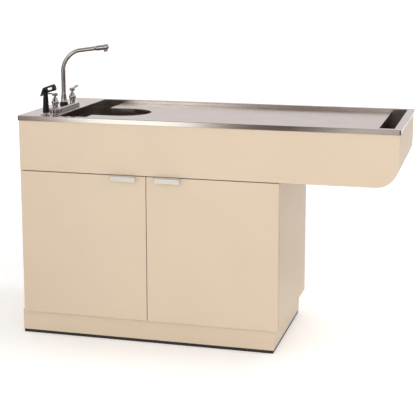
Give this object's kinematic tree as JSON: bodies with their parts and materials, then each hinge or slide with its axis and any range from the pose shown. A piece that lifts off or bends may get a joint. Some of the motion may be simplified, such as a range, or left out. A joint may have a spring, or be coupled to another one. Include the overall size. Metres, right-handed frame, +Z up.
{
  "type": "veterinary wet table",
  "caption": "Long stainless wet table with a sloped tub, lift-out notched insert, deck faucet and hand sprayer, on a beige two-door cabinet with an overhanging end.",
  "frame": {"origin": "middle of the base on the floor, below the middle of the bounding box", "axes": "+X along the table from the faucet end to the overhanging end, +Y from the doors to the back, +Z up"},
  "size_m": [1.534, 0.624, 1.1878],
  "materials": {
    "laminate": "satin plastic laminate",
    "base_strip": "matt black",
    "aluminium": "satin anodised",
    "nickel_steel": "nickel plated",
    "stainless": "brushed",
    "chrome": "polished",
    "black_plastic": "gloss",
    "white_plastic": "satin"
  },
  "bodies": {
    "carcass": {"side_left": "laminate", "side_right": "laminate", "cabinet_floor": "laminate", "cabinet_back": "laminate", "rail_front": "laminate", "rail_back": "laminate", "shelf": "laminate", "shelf_cleats": "laminate", "plinth_front": "laminate", "plinth_back": "laminate", "plinth_end_left": "laminate", "plinth_end_right": "laminate", "apron_front": "laminate", "apron_back": "laminate", "apron_left": "laminate", "apron_end": "laminate", "apron_bottom": "laminate", "brace_cabinet": "laminate", "brace_overhang": "laminate", "strips_front": "base_strip", "strip_back": "base_strip", "strips_end": "base_strip", "left_hinge_arms": "nickel_steel", "right_hinge_arms": "nickel_steel", "deck_nuts": "nickel_steel", "top_rim": "stainless", "tub_sides": "stainless", "tub_ends": "stainless", "tub_sump": "stainless", "tub_slope": "stainless", "insert_ledges": "stainless", "strainer_body": "chrome", "strainer_nut": "chrome", "tailpiece": "chrome", "trap": "chrome", "faucet_plate": "chrome", "hot_valve": "chrome", "cold_valve": "chrome", "sprayer_holder": "chrome", "spout_ring": "black_plastic", "door_catches": "white_plastic", "waste_nuts": "white_plastic"},
    "left_door_leaf": {"left_door": "laminate", "left_pull": "aluminium", "left_hinge_cups": "nickel_steel"},
    "right_door_leaf": {"right_door": "laminate", "right_pull": "aluminium", "right_hinge_cups": "nickel_steel"},
    "insert": {"insert_pan": "stainless", "channel_front": "stainless", "channel_back": "stainless"},
    "basket": {"strainer_basket": "stainless"},
    "spout_arm": {"spout": "chrome", "nozzle": "chrome", "aerator": "chrome"},
    "hot_lever": {"hot_handle": "chrome"},
    "cold_lever": {"cold_handle": "chrome"},
    "hand_sprayer": {"sprayer_body": "black_plastic", "sprayer_panel": "white_plastic"},
    "thumb_lever": {"sprayer_lever": "black_plastic"}
  },
  "joints": [
    {"name": "left_door_hinge", "type": "hinge", "parent": "carcass", "child": "left_door_leaf", "pos_m": [-0.752, -0.274, 0.4], "axis": [0, 0, -1], "range_deg": [0, 110]},
    {"name": "right_door_hinge", "type": "hinge", "parent": "carcass", "child": "right_door_leaf", "pos_m": [0.313, -0.274, 0.4], "axis": [0, 0, 1], "range_deg": [0, 110]},
    {"name": "insert_lift", "type": "slide", "parent": "carcass", "child": "insert", "axis": [0, 0, 1], "range_m": [0, 0.22]},
    {"name": "basket_lift", "type": "slide", "parent": "carcass", "child": "basket", "axis": [0, 0, 1], "range_m": [0, 0.16]},
    {"name": "spout_swivel", "type": "hinge", "parent": "carcass", "child": "spout_arm", "pos_m": [-0.655, -0.052, 0.941], "axis": [0, 0, 1], "range_deg": [-110, 110]},
    {"name": "hot_turn", "type": "hinge", "parent": "carcass", "child": "hot_lever", "pos_m": [-0.655, -0.147, 0.978], "axis": [0, 0, 1], "range_deg": [0, 90]},
    {"name": "cold_turn", "type": "hinge", "parent": "carcass", "child": "cold_lever", "pos_m": [-0.655, 0.043, 0.978], "axis": [0, 0, -1], "range_deg": [0, 90]},
    {"name": "sprayer_lift", "type": "slide", "parent": "carcass", "child": "hand_sprayer", "axis": [0, 0, 1], "range_m": [0, 0.15]},
    {"name": "sprayer_trigger", "type": "hinge", "parent": "hand_sprayer", "child": "thumb_lever", "pos_m": [-0.661, -0.243, 1.019], "axis": [0, -1, 0], "range_deg": [0, 8], "stiffness_Nm_per_rad": 0.4}
  ]
}
